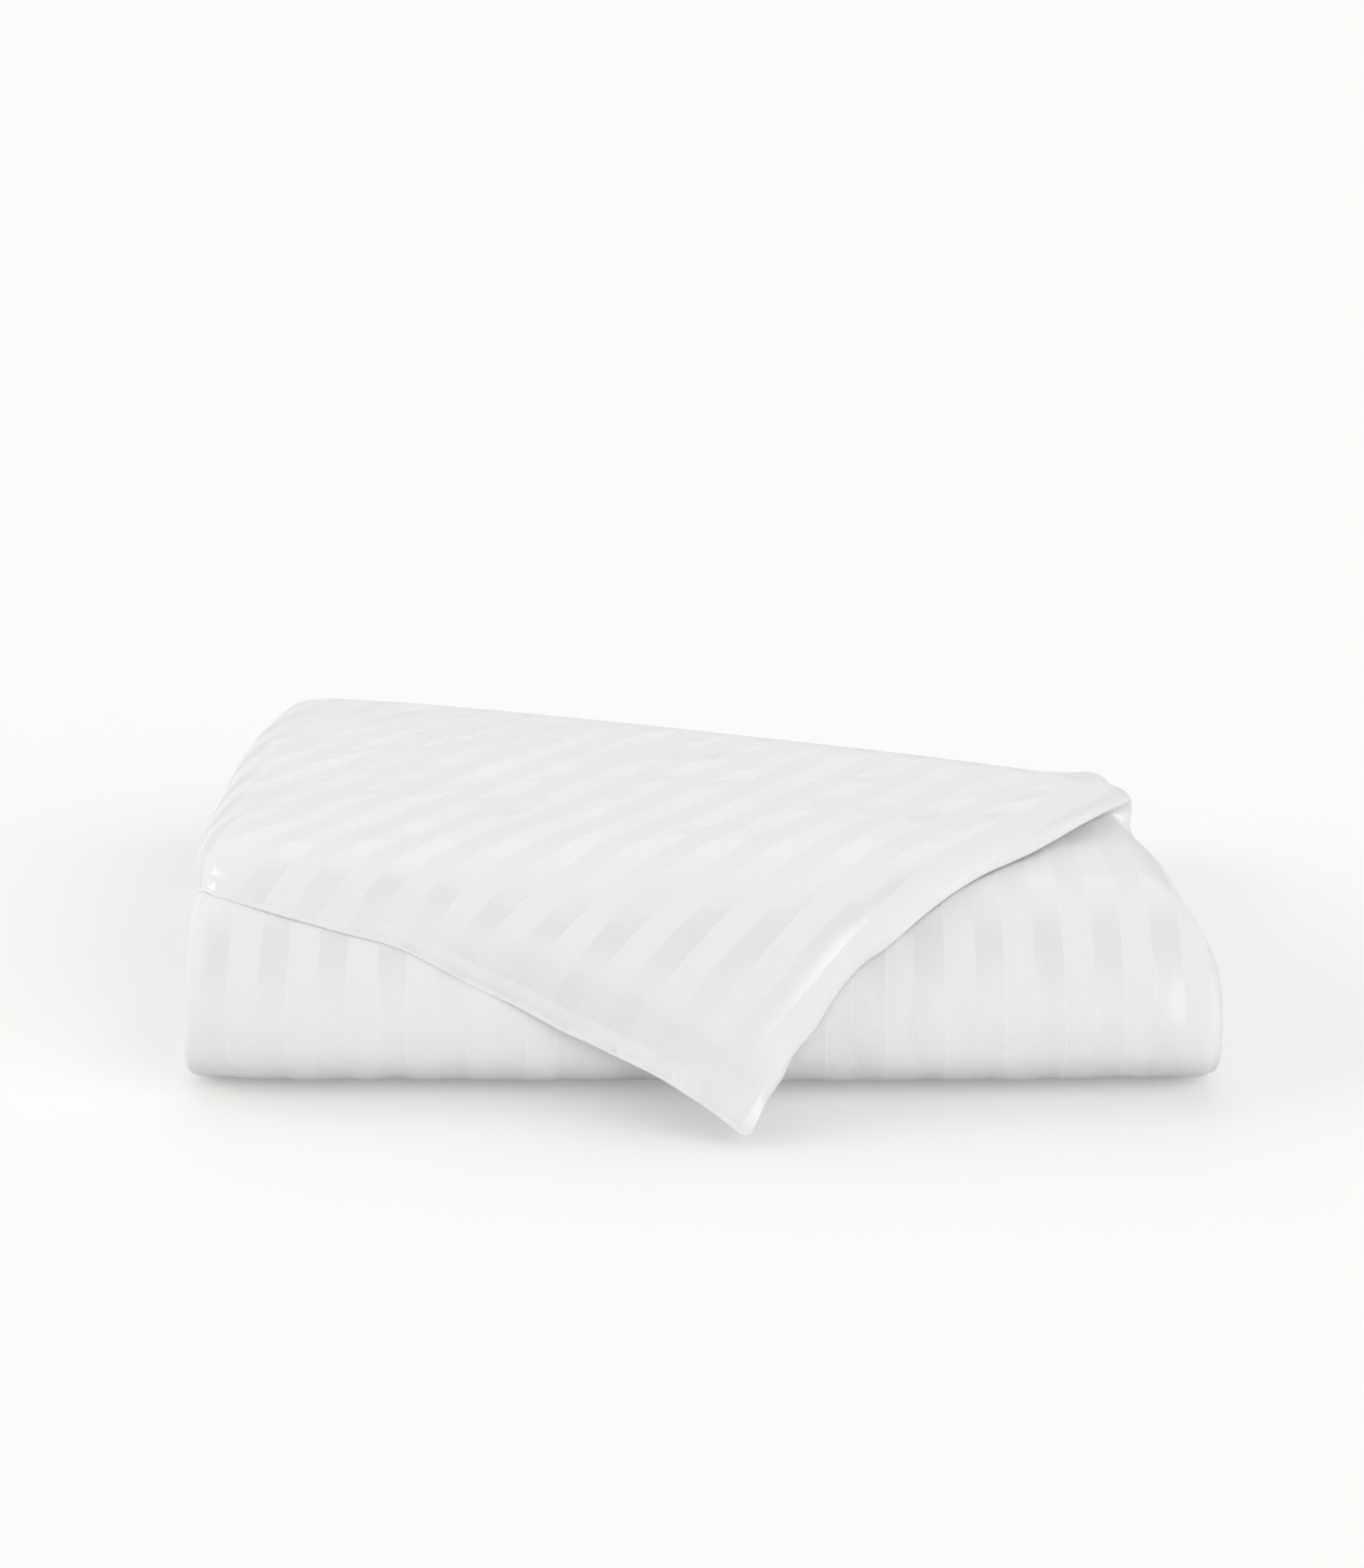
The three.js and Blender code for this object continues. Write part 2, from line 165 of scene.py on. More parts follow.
# Soft swells of the filling: share of the set height, length along each cloth coordinate, and seed
STACK_SWELLS = ((1.00, 0.085, 0.060, 3.1), (0.60, 0.021, 0.070, 7.7), (0.20, 0.0065, 0.017, 12.4))
SWELLS_FADE, SWELLS_RETURN = (0.80 * math.pi, 0.97 * math.pi), (1.10 * math.pi, 1.30 * math.pi)
TOP_CALM, TOP_CALMS = 0.55, (0.30 * math.pi, 0.02 * math.pi)  # the swells are lower towards the top
CREASES_FROM = 0.2  # turn of the front fold, in radians, where its creases begin
FLAP_SWELL = (0.075, 0.065, 21.7)
FLAP_SLANTED_SWELL = (0.026, 0.055, 2.9)
FLAP_FINE_SWELL = (0.008, 0.008, 14.2)
SLANTED_SHARE, FINE_SHARE = 0.60, 0.20

# Puckers and the shallow trough that run along the hem, in metres from it
PUCKER_SWELL = (0.013, 0.045, 5.3)
PUCKER_GAIN = 2.4
PUCKER_BEGINS, PUCKER_ENDS = (0.003, 0.007), (0.012, 0.040)
TROUGH_DEPTH, TROUGH_AT, TROUGH_WIDTH = 0.0020, 0.027, 0.011
TROUGH_EVEN, TROUGH_VARIES = 0.75, 0.9  # shares of its depth
TROUGH_SWELL = (0.040, 0.3, 9.1)
SWELLS_BEGIN = (0.010, 0.045)

# Stitches of the hem, in metres
STITCH_LINE = 0.0038
STITCH_SPACING, STITCH_LENGTH, STITCH_WIDTH, STITCH_HEIGHT = 0.0034, 0.0025, 0.00028, 0.00020
STITCH_END_COLUMNS = 4
STITCH_BETWEEN = (12, 18)  # rows of the layer on both sides of the stitches

# How finely the cloth is cut up: steps over, under and round an edge, and along its runs
STACK_STEPS, FLAP_STEPS = (206, 60, 9), (212, 56, 10)
RUN_STEPS = {"top": 60, "front": 96, "bottom": 28, "back": 30, "middle": 44, "tip": 9}
HEM_ROWS = ((0, 0.013, 17), (0.0145, 0.040, 14))  # from and to as shares of the layer's length, and count
FLAP_ROWS = 150
FOLD_STEPS = 25
CURVE_STEPS, ARC_STEPS = 40, 200
SLOPE_STEP = 0.0005

# Satin stripes: where one begins on the front, and how the turned layer's cloth coordinate is placed
STRIPE_START = -0.3431
FLAP_STRIPE_ANGLE = math.radians(39.5)
FLAP_STRIPE_FROM = (0.0144, 0.260)
FLAP_STRIPE_FIRST = 0.026
FLAP_STRIPE_PITCH = 0.0201
HEM_STRIPE_TURN = (0.050, 0.008)  # within this distance from the hem the stripes shift by this much

# Stripes in the material: how sharply a stripe and the line at its edge end
STRIPE_SHARPNESS, BORDER_SHARPNESS = 60.0, 42.0
# The line at each stripe's edge is painted lighter, by this share and towards this colour: a painted
# highlight where light would catch its ridge
BORDER_PAINTED_HIGHLIGHT, BORDER_HIGHLIGHT_COLOUR = 0.20, (0.90, 0.90, 0.90, 1)

# Weave: noise scales over the two cloth coordinates
WARP_SCALE, WEFT_SCALE = (1500, 260), (300, 1300)
CRUMPLE_SCALE, CRUMPLE_SHARE = (55, 38), 0.9
SLUB_SCALE, SLUB_SHARE, SLUB_COLOUR = (90, 900), 0.06, (0.82, 0.82, 0.83, 1)
WEAVE_RELIEF, STRIPE_RELIEF = (0.55, 0.0004), (0.35, 0.0003)  # strength and height of the bump

# Gloss of the cloth
PLAIN_ROUGHNESS, SATIN_ROUGHNESS = 0.82, 0.48
SATIN_COAT, COAT_ROUGHNESS, COAT_IOR = 0.9, 0.32, 1.8
CLOTH_SPECULAR, CLOTH_SHEEN, SHEEN_ROUGHNESS = 0.35, 0.12, 0.4

# Sewing thread
THREAD_DARK, THREAD_LIGHT = (0.80, 0.80, 0.80, 1), (0.90, 0.90, 0.90, 1)
THREAD_TWIST = 2600
THREAD_ROUGHNESS = 0.6

# Soft lights: the way that each one shines and its width in degrees
LIGHTS = {
    "right": ((-0.75, 0.5, -0.43), 60),
    "left": ((1, -0.05, -0.2), 60),
    "front": ((0.25, 0.85, -0.45), 60),
    "back": ((0.1, -0.6, -0.8), 70),
}
FLOOR_SIZE = 60

# The camera looks 20 degrees down from in front
CAMERA_AT = (-0.0157, -1.7571, 0.8902)
CAMERA_PITCH = math.radians(20)
CAMERA_LENS, CAMERA_SENSOR = 62.1, 36


class CoverSettings(bpy.types.PropertyGroup):
    """Sizes and colours of the cover."""

    layer: bpy.props.FloatProperty(
        name="Layer thickness", description="Thickness of one folded layer", default=0.045, unit="LENGTH")
    air: bpy.props.FloatProperty(
        name="Gap", description="Gap between two folded layers", default=0.003, unit="LENGTH")
    flap: bpy.props.FloatProperty(
        name="Turned layer thickness", description="Thickness of the layer that is turned down",
        default=0.022, unit="LENGTH")
    stripe: bpy.props.FloatProperty(
        name="Stripe width", description="Width of one satin stripe", default=0.02155, unit="LENGTH")
    pucker: bpy.props.FloatProperty(
        name="Puckers", description="Height of the puckers along the hem", default=0.0006, unit="LENGTH")
    softness: bpy.props.FloatProperty(
        name="Unevenness", description="Height of the soft swells of the filling",
        default=0.0016, unit="LENGTH")
    plain_colour: bpy.props.FloatVectorProperty(
        name="Plain stripe", description="Colour of the plain stripes", default=(0.80, 0.80, 0.80),
        subtype="COLOR", size=3, min=0, max=1)
    satin_colour: bpy.props.FloatVectorProperty(
        name="Satin stripe", description="Colour of the satin stripes", default=(0.784, 0.784, 0.785),
        subtype="COLOR", size=3, min=0, max=1)


class StageSettings(bpy.types.PropertyGroup):
    """The floor and the light."""

    floor_colour: bpy.props.FloatVectorProperty(
        name="Floor", description="Colour of the floor", default=(0.72, 0.7135, 0.7005),
        subtype="COLOR", size=3, min=0, max=1)
    floor_glow: bpy.props.FloatProperty(
        name="Floor glow", description="Light that the floor shows itself, as a lit table does",
        default=0.335)
    backdrop_colour: bpy.props.FloatVectorProperty(
        name="Backdrop", description="Colour behind the floor", default=(0.965, 0.956, 0.939),
        subtype="COLOR", size=3, min=0, max=1)
    dome: bpy.props.FloatProperty(
        name="Dome light", description="Strength of the even light from all round", default=0.56)
    zenith: bpy.props.FloatProperty(
        name="Zenith", description="Share by which the dome is darker overhead", default=0.7)
    right: bpy.props.FloatProperty(
        name="Right light", description="Strength of the soft light from above on the front right",
        default=1.62)
    left: bpy.props.FloatProperty(
        name="Left light", description="Strength of the soft light from the left side", default=2.0)
    front: bpy.props.FloatProperty(
        name="Front light", description="Strength of the soft light from in front", default=0.36)
    back: bpy.props.FloatProperty(
        name="Back light", description="Strength of the soft light from above and behind", default=0.92)


def smooth(value, low, high):
    """Goes softly from 0 at low to 1 at high."""
    share = np.clip((value - low) / (high - low), 0, 1)
    return share * share * (3 - 2 * share)


def lerp(start, end, share):
    """Goes evenly from start to end."""
    return start + (end - start) * share


def stack_place():
    """Where the stack's own zero lies in the frame: mid width, at the front, on the floor."""
    return Vector((CAD_HIGH.x - HALF_WIDTH, CAD_HIGH.y - BACK_EDGE, 0))


def crown(x, y):
    """The stack is lower towards its sides and its back."""
    side = CROWN_SIDE * np.clip(np.abs(x) / HALF_WIDTH, 0, 1) ** 4
    back = CROWN_BACK * np.clip((y - CROWN_BACK_FROM) / (DEPTH - CROWN_BACK_FROM), 0, 1) ** 2
    return 1 - side - back


def bulge(points):
    """The left side bulges out near the front."""
    points[..., 0] -= BULGE_OUT * smooth(-points[..., 0], *BULGE_X) * (1 - smooth(points[..., 1], *BULGE_Y))
    return points


def settle(points):
    """The front fold leans back, its foot comes forward, and the whole is crowned."""
    z = points[..., 2]
    height = np.where(z < 2 * LEAN_FROM, z * z / (4 * LEAN_FROM), z - LEAN_FROM)
    tuck = FOOT_TUCK * np.clip(1 - z / FOOT_TUCKS_BELOW, 0, 1) ** 2
    bow = FRONT_BOW * (np.abs(points[..., 0]) / HALF_WIDTH) ** 3
    reach = 1 - smooth(points[..., 1], *LEAN_FADES)
    points[..., 1] += (LEAN * height - FOOT_FORWARD + tuck + bow) * reach
    points[..., 2] *= crown(points[..., 0], points[..., 1])
    return bulge(points)


def swells(first, second, length, width, seed):
    """Soft noise over two cloth coordinates, with its own length along each."""
    flat = [
        noise.noise((a / length, b / width, seed))
        for a, b in zip(np.ravel(first), np.ravel(second))
    ]
    return np.reshape(flat, np.shape(first))


def crease(first, second, start, end, depth, half_width):
    """A soft trough between two places, in millimetres, as a depth in metres."""
    start, end = np.array(start) * MM, np.array(end) * MM
    along = end - start
    length = np.linalg.norm(along)
    along = along / length
    offset = np.stack([first - start[0], second - start[1]], -1)
    run = offset @ along
    across = offset @ np.array([-along[1], along[0]])
    ends = np.clip(np.maximum(-run, run - length), 0, None)
    return -depth * MM * np.exp(-((across / (half_width * MM)) ** 2) - (ends / (2 * half_width * MM)) ** 2)


def skin_columns(over, under, edge):
    """Columns once round a filled sheet: place across, angle of the rounded edge, and side."""
    angle = np.linspace(0, math.pi / 2, edge + 1)

    def face(inner, sign):
        middle = np.linspace(0, 1, inner + 1)[1:-1]
        place = np.concatenate([np.zeros(edge + 1), middle, np.ones(edge + 1)])
        angles = np.concatenate([angle, np.full(inner - 1, math.pi / 2), angle[::-1]])
        return np.stack([place, angles, np.full(len(place), sign)])

    columns = np.concatenate([face(over, 1), face(under, -1)[:, ::-1]], axis=1)
    return np.concatenate([columns, columns[:, :1]], axis=1)


def rounding(angle, power):
    """Inset and share of the full thickness round an edge: an ellipse at power 2, and squarer above that."""
    cos, sin = np.clip(np.cos(angle), 0, 1), np.sin(angle)
    return np.where(angle >= math.pi / 2, 1, 1 - cos ** (2 / power)), sin ** (2 / power)


def edge_arc(inset, reach, half):
    """Distance over the rounded edge, from where the sheet is full, for each column's inset."""
    turn = np.linspace(0, 1, ARC_STEPS)
    steps = 1 - np.cos(turn * math.pi / 2) ** (2 / EDGE_SQUARE)
    rise = np.sin(turn * math.pi / 2) ** (2 / EDGE_SQUARE)
    run = np.hypot(np.diff(steps) * reach, np.diff(rise) * half)
    total = np.concatenate([[0], np.cumsum(run)])
    return np.interp(inset, steps, total[-1] - total)


def upper_steps(face):
    """How many steps between a skin's columns lie on its upper side."""
    return int((face > 0).sum()) - 1


def cloth_skin(name, points, first, second, upper):
    """A closed skin from a flat grid whose rows run up the cloth and whose columns run once round it.

    The upper side has the first columns, as many as upper says, and the under side has the others.
    """
    rows, columns = first.shape[0] - 1, first.shape[1] - 1
    shape = bmesh.new()
    bmesh.ops.create_grid(shape, x_segments=columns, y_segments=rows, size=1)
    cloth = shape.loops.layers.uv.new("cloth")
    spots = {}
    for vert in shape.verts:
        row = round((vert.co.y + 1) / 2 * rows)
        column = round((vert.co.x + 1) / 2 * columns)
        spots[vert] = (row, column)
    for face in shape.faces:
        for loop in face.loops:
            row, column = spots[loop.vert]
            loop[cloth].uv = (first[row, column], second[row, column])
    for vert, (row, column) in spots.items():
        vert.co = points[row, column]
    joined = [vert for vert, (row, column) in spots.items() if column in (0, columns)]
    ends = [[vert for vert, (row, column) in spots.items() if row == end] for end in (0, rows)]
    half_way = {vert for vert, (row, column) in spots.items() if column < upper}
    chains = []
    for end in ends:
        there = set(end)
        edges = [e for vert in end for e in vert.link_edges if e.verts[0] in there and e.verts[1] in there]
        edges = list(dict.fromkeys(edges))
        over = [e for e in edges if e.verts[0] in half_way and e.verts[1] in half_way]
        under = [e for e in edges if e.verts[0] not in half_way and e.verts[1] not in half_way]
        chains.append((over, under))
    for over, under in chains:
        bmesh.ops.bridge_loops(shape, edges=over + under)
    bmesh.ops.remove_doubles(shape, verts=joined, dist=1e-6)
    bmesh.ops.triangulate(shape, faces=[f for f in shape.faces if len(f.verts) > 4])
    bmesh.ops.recalc_face_normals(shape, faces=shape.faces)
    for face in shape.faces:
        face.smooth = True
    return finished(name, shape)


def finished(name, shape):
    """Turns a bmesh into a piece that stands for the CAD solid."""
    shape.transform(Matrix.Translation(stack_place()))
    mesh = bpy.data.meshes.new(name)
    shape.to_mesh(mesh)
    shape.free()
    piece = bpy.data.objects.new(name, mesh)
    bpy.context.scene.collection.objects.link(piece)
    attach(piece, "root")
    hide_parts(NODE)
    return piece


# The folded strip


def slanted_end(x):
    """Depth of the slanted line that the top run ends on, where the turned layer folds over it."""
    return FOLD_RIGHT[1] + (FOLD_RIGHT[0] - x) * math.tan(FOLD_SKEW)


class Heights:
    """Heights and radii worked out from the layers."""

    def __init__(self, settings):
        self.half = settings.layer / 2
        self.bottom = self.half
        self.middle = self.bottom + settings.layer + settings.air
        self.top = self.middle + settings.layer + settings.air
        self.stack_top = self.top + self.half
        self.front_radius = (self.top - self.bottom) / 2
        self.back_radius = (self.middle - self.bottom) / 2
        self.front_y = self.front_radius + self.half
        self.back_y = DEPTH - self.back_radius - self.half
        self.middle_y = self.front_y - self.front_radius + self.half + settings.air
        self.flap_half = settings.flap / 2
        self.flap_z = self.stack_top + FLAP_CLEAR + self.flap_half


def strip_rows(heights):
    """Rows along the folded strip, from the top's back end to the tip inside.

    Each has its share of the slanted end, y, z, turn, half thickness, and left and right half width.
    """
    h = heights
    rows = []

    def add(count, start, make):
        for step in range(start, count + 1):
            rows.append(make(step / count))

    def widths(one, other, share):
        a, b = EDGES[one], EDGES[other]
        share = float(smooth(share, 0, 1))
        return lerp(a[0], b[0], share), lerp(a[1], b[1], share)

    def top(t):
        y = -h.half * (1 - t) + h.front_y * t
        return 1 - t, y, h.top, 0, h.half, *widths("top_back", "top_front", t)

    def front(t):
        turn = math.pi * t
        pull = max(math.cos(turn), 0) ** PULL_IN
        low = float(smooth(turn, math.pi / 2, math.pi))
        left, right = (
            lerp(lerp(front, top, pull), bottom, low)
            for front, top, bottom in zip(EDGES["front"], EDGES["top_front"], EDGES["bottom_front"])
        )
        y = h.front_y - h.front_radius * math.sin(turn)
        return 0, y, h.bottom + h.front_radius * (1 + math.cos(turn)), turn, h.half, left, right

    def bottom(t):
        y = lerp(h.front_y, h.back_y, t)
        return 0, y, h.bottom, math.pi, h.half, *widths("bottom_front", "bottom_back", t)

    def back(t):
        turn = math.pi * (1 + t)
        y = h.back_y - h.back_radius * math.sin(turn)
        z = h.bottom + h.back_radius * (1 + math.cos(turn))
        return 0, y, z, turn, h.half, *widths("bottom_back", "middle", t)

    def middle(t):
        y = lerp(h.back_y, h.middle_y + h.half, t)
        return 0, y, h.middle, 2 * math.pi, h.half, *EDGES["middle"]

    def tip(t):
        angle = math.pi / 2 * (1 - t)
        y = h.middle_y + h.half * (1 - math.cos(angle))
        return 0, y, h.middle, 2 * math.pi, max(h.half * math.sin(angle), SEAM / 2), *EDGES["middle"]

    first = list(top(0))
    first[4] = SEAM / 2
    rows.append(tuple(first))
    for make in (top, front, bottom, back, middle, tip):
        add(RUN_STEPS[make.__name__], int(make is not top), make)
    return np.array(rows, float)


def build_strip(settings):
    """The folded strip as a closed filled skin."""
    heights = Heights(settings)
    rows = strip_rows(heights)
    side, angle, face = skin_columns(*STACK_STEPS)
    share, y0, z0, turn, half, left, right = (rows[:, i : i + 1] for i in range(7))
    foot = smooth(turn, *FOOT_BEGINS) * (1 - smooth(turn, *FOOT_ENDS))
    inset, full = rounding(angle, lerp(EDGE_SQUARE, FOOT_SQUARE, foot))
    sign = np.where(side < 0.5, -1.0, 1.0)
    flat_x = lerp(-left + EDGE_ROUND, right - EDGE_ROUND, side)
    x = flat_x + EDGE_ROUND * (1 - inset) * sign
    y = share * slanted_end(x) + y0
    thick = np.maximum(half * full, SEAM / 2)
    middle = np.stack([x, y, z0 + 0 * x], -1)
    outward = np.stack([0 * x, -np.sin(turn) + 0 * x, np.cos(turn) + 0 * x], -1)
    skin = middle + outward * (thick * face)[..., None]
    steps = np.linalg.norm(np.diff(skin, axis=0), axis=-1)
    length = np.concatenate([np.zeros((1, steps.shape[1])), np.cumsum(steps, axis=0)])
    front_row = int(np.argmin(np.abs(turn[:, 0] - math.pi / 2)))
    second = length - length[front_row : front_row + 1]
    arc = edge_arc(inset, EDGE_ROUND, heights.half)
    first = bulge(np.stack([flat_x, 0 * flat_x], -1))[..., 0] + np.where(inset < 1, arc * sign, 0)
    shown = (face > 0) * full * (1 - smooth(turn, *SWELLS_FADE))
    shown = np.maximum(shown, (face > 0) * full * smooth(turn, *SWELLS_RETURN))
    soft = settings.softness
    lift = sum(share * soft * swells(first, second, *swell) for share, *swell in STACK_SWELLS)
    on_front = (turn > CREASES_FROM) & (turn < math.pi)
    for start, end, depth, half_width in FRONT_CREASES:
        lift += np.where(on_front, crease(x, skin[..., 2], start, end, depth, half_width), 0)
    near_top = 1 - TOP_CALM * smooth(turn, *TOP_CALMS)
    skin += outward * (lift * shown * near_top)[..., None]
    skin[..., 2] = np.maximum(skin[..., 2], 0)
    skin = settle(skin)
    piece = cloth_skin("folded_stack", skin, first, second, upper_steps(face))
    return piece


# The turned-down layer


def over_bend(distance, radius, slope):
    """Distance forward and drop after a way over a bend, then straight on at its end slope."""
    angle = np.clip(distance / radius, 0, slope)
    rest = np.clip(distance - slope * radius, 0, None)
    forward = np.where(distance <= 0, distance, radius * np.sin(angle) + rest * math.cos(slope))
    return forward, radius * (1 - np.cos(angle)) + rest * math.sin(slope)


def drape(x, forward, height):
    """A point of the layer laid flat goes to its place over the front and the left side."""
    front, front_drop = over_bend(forward, BEND_RADIUS, BEND_SLOPE)
    left, left_drop = over_bend(SHOULDER_AT - x, SHOULDER_RADIUS, math.pi / 2)
    points = np.stack([SHOULDER_AT - left, BEND_AT - front, height - front_drop - left_drop], -1)
    points[..., 2] *= crown(points[..., 0], points[..., 1])
    return bulge(points)


def smooth_curve(points):
    """Places evenly spaced along a smooth curve through the points, as a function of 0 to 1."""
    knots = np.array([points[0], *points, points[-1]], float)
    t = np.linspace(0, 1, CURVE_STEPS, endpoint=False)[:, None]
    path = [
        0.5 * (2 * b + (c - a) * t + (2 * a - 5 * b + 4 * c - d) * t**2 + (3 * b - a - 3 * c + d) * t**3)
        for a, b, c, d in zip(knots, knots[1:], knots[2:], knots[3:])
    ]
    path = np.concatenate([*path, knots[-1:]])
    length = np.concatenate([[0], np.cumsum(np.linalg.norm(np.diff(path, axis=0), axis=1))])
    length /= length[-1]
    return lambda at: np.stack([np.interp(at, length, path[:, 0]), np.interp(at, length, path[:, 1])], -1)


def flap_outline(heights):
    """Sides of the layer laid flat, in metres: hem, right edge and left edge as functions of 0 to 1."""

    def fold_forward(x):
        return BEND_AT - slanted_end(x) + heights.half

    hem = np.array(HEM) * MM
    right = [*(np.array(RIGHT_EDGE) * MM), (FOLD_RIGHT[0], fold_forward(FOLD_RIGHT[0]))]
    left = [hem[-1], (FOLD_LEFT_X, fold_forward(FOLD_LEFT_X))]
    return smooth_curve(hem), smooth_curve(np.array(right)), smooth_curve(np.array(left))


def flat_place(outline, along, across):
    """Flat place of the layer: along from the hem to the back fold, across from left to right."""
    hem, right, left = outline
    starts, ends = left(along), right(along)
    chord = lerp(left(0 * along), right(0 * along), across[..., None])
    sag = (hem(1 - across) - chord) * ((1 - along) ** 3)[..., None]
    return lerp(starts, ends, across[..., None]) + sag


def blunt_tip(outline, flat):
    """Rounds the tip off, as a square is mapped to a disc."""
    hem, right, _ = outline
    tip = hem(np.zeros(1))[0]
    ways = [side(np.full(1, TIP_SIDES_AT))[0] - tip for side in (hem, right)]
    ways = np.stack([way / np.linalg.norm(way) for way in ways], 1)
    far = (flat - tip) @ np.linalg.inv(ways).T
    u, v = np.moveaxis(np.clip(1 - far / TIP_BLUNT, 0, 1), -1, 0)
    moved = np.stack([u * (1 - np.sqrt(1 - v * v / 2)), v * (1 - np.sqrt(1 - u * u / 2))], -1)
    return flat + TIP_BLUNT * moved @ ways.T


def hem_height(distance, flap):
    """Filled height at a distance from the hem."""
    near = np.array(HEM_RISE) * MM
    start = near[-1]
    low = np.interp(distance, near[:, 0], near[:, 1])
    share = np.clip((distance - start[0]) / (HEM_FILLED_AT * MM - start[0]), 0, 1)
    high = start[1] + (flap - start[1]) * (1 - (1 - share) ** HEM_FILL_POWER)
    return np.where(distance < start[0], low, high)


def flap_cloth(x, forward, hem_distance):
    """Cloth coordinates across and along the stripes of the turned layer."""
    over_front = BEND_OUTSIDE * np.clip(forward / BEND_RADIUS, 0, BEND_SLOPE)
    over_left = BEND_OUTSIDE * np.clip((SHOULDER_AT - x) / SHOULDER_RADIUS, 0, math.pi / 2)
    reach, shift = HEM_STRIPE_TURN
    turned = shift * np.clip(1 - hem_distance / reach, 0, 1) ** 2
    x, forward = x - over_left - turned, forward + over_front
    cos, sin = math.cos(FLAP_STRIPE_ANGLE), math.sin(FLAP_STRIPE_ANGLE)
    x0, s0 = FLAP_STRIPE_FROM
    across = (x - x0) * cos + (forward - s0) * sin
    along = (x - x0) * sin - (forward - s0) * cos
    return across, along


def build_flap(settings):
    """The turned-down layer with the fold at its back, as a closed filled skin."""
    heights = Heights(settings)
    outline = flap_outline(heights)
    near = np.concatenate([np.linspace(*part) for part in HEM_ROWS])
    rows = np.concatenate([near, np.linspace(near[-1], 1, FLAP_ROWS)[1:]])
    side, angle, face = skin_columns(*FLAP_STEPS)
    inset, full = rounding(angle, FLAP_EDGE_SQUARE)
    sign = np.where(side < 0.5, -1.0, 1.0)
    along = rows[:, None] + 0 * side
    _, right, left = outline
    width = np.linalg.norm(right(rows) - left(rows), axis=1)[:, None]
    edge = FLAP_EDGE_ROUND / width
    across = lerp(edge, 1 - edge, side) + edge * (1 - inset) * sign
    flat = blunt_tip(outline, flat_place(outline, along, across))
    x, forward = flat[..., 0], flat[..., 1]
    steps = np.linalg.norm(np.diff(flat, axis=0), axis=-1)
    hem_distance = np.concatenate([np.zeros((1, steps.shape[1])), np.cumsum(steps, axis=0)])
    level, near_by = heights.flap_z, SLOPE_STEP
    middle = drape(x, forward, level)
    to_right = drape(x + near_by, forward, level) - drape(x - near_by, forward, level)
    to_front = drape(x, forward + near_by, level) - drape(x, forward - near_by, level)
    outward = np.cross(to_front, to_right)
    outward /= np.linalg.norm(outward, axis=-1, keepdims=True)
    tall = hem_height(hem_distance, settings.flap)
    lying = 1 - smooth(forward, *CORNER_HANGS_FREE)
    hem_sinks = HEM_SINKS * (1 - smooth(hem_distance, 0, HEM_SINK_OVER))
    centre = (tall / 2 - heights.flap_half - hem_sinks) * lying
    half = np.maximum(tall / 2 * full, SEAM / 2)
    sinks = lerp(EDGE_SETTLES, 1, lying) * (side > 0.5) * (1 - smooth(rows[:, None], *EDGE_LIFTS))
    centre -= tall / 2 * (1 - full) * sinks
    along_hem = across * width[0, 0]
    pucker = settings.pucker * swells(along_hem, hem_distance, *PUCKER_SWELL)
    pucker *= smooth(hem_distance, *PUCKER_BEGINS) * (1 - smooth(hem_distance, *PUCKER_ENDS))
    trough = -TROUGH_DEPTH * np.exp(-(((hem_distance - TROUGH_AT) / TROUGH_WIDTH) ** 2))
    trough *= TROUGH_EVEN + TROUGH_VARIES * swells(along_hem, hem_distance, *TROUGH_SWELL)
    soft = settings.softness
    inner = smooth(hem_distance, *SWELLS_BEGIN)
    lift = soft * inner * swells(x, forward, *FLAP_SWELL)
    lift += SLANTED_SHARE * soft * inner * swells(x + forward, x - forward, *FLAP_SLANTED_SWELL)
    lift += FINE_SHARE * soft * swells(x, forward, *FLAP_FINE_SWELL)
    for start, end, depth, half_width in FLAP_CREASES:
        lift += crease(x, forward, start, end, depth, half_width)
    lift = (lift + PUCKER_GAIN * pucker + trough) * full * (face > 0)
    skin = middle + outward * (centre + half * face + lift)[..., None]
    over, along_cloth = flap_cloth(x, forward, hem_distance)
    first = STRIPE_START + (over + FLAP_STRIPE_FIRST) * (settings.stripe / FLAP_STRIPE_PITCH)
    ends = x[-1], first[-1], along_cloth[-1]
    tail, tail_first, tail_second = flap_tail(heights, *ends, side, inset, full, face)
    skin = np.concatenate([skin, tail])
    first = np.concatenate([first, tail_first])
    second = np.concatenate([along_cloth, tail_second])
    piece = cloth_skin("turned_layer", skin, first, second, upper_steps(face))
    return piece, (skin, hem_distance, face)


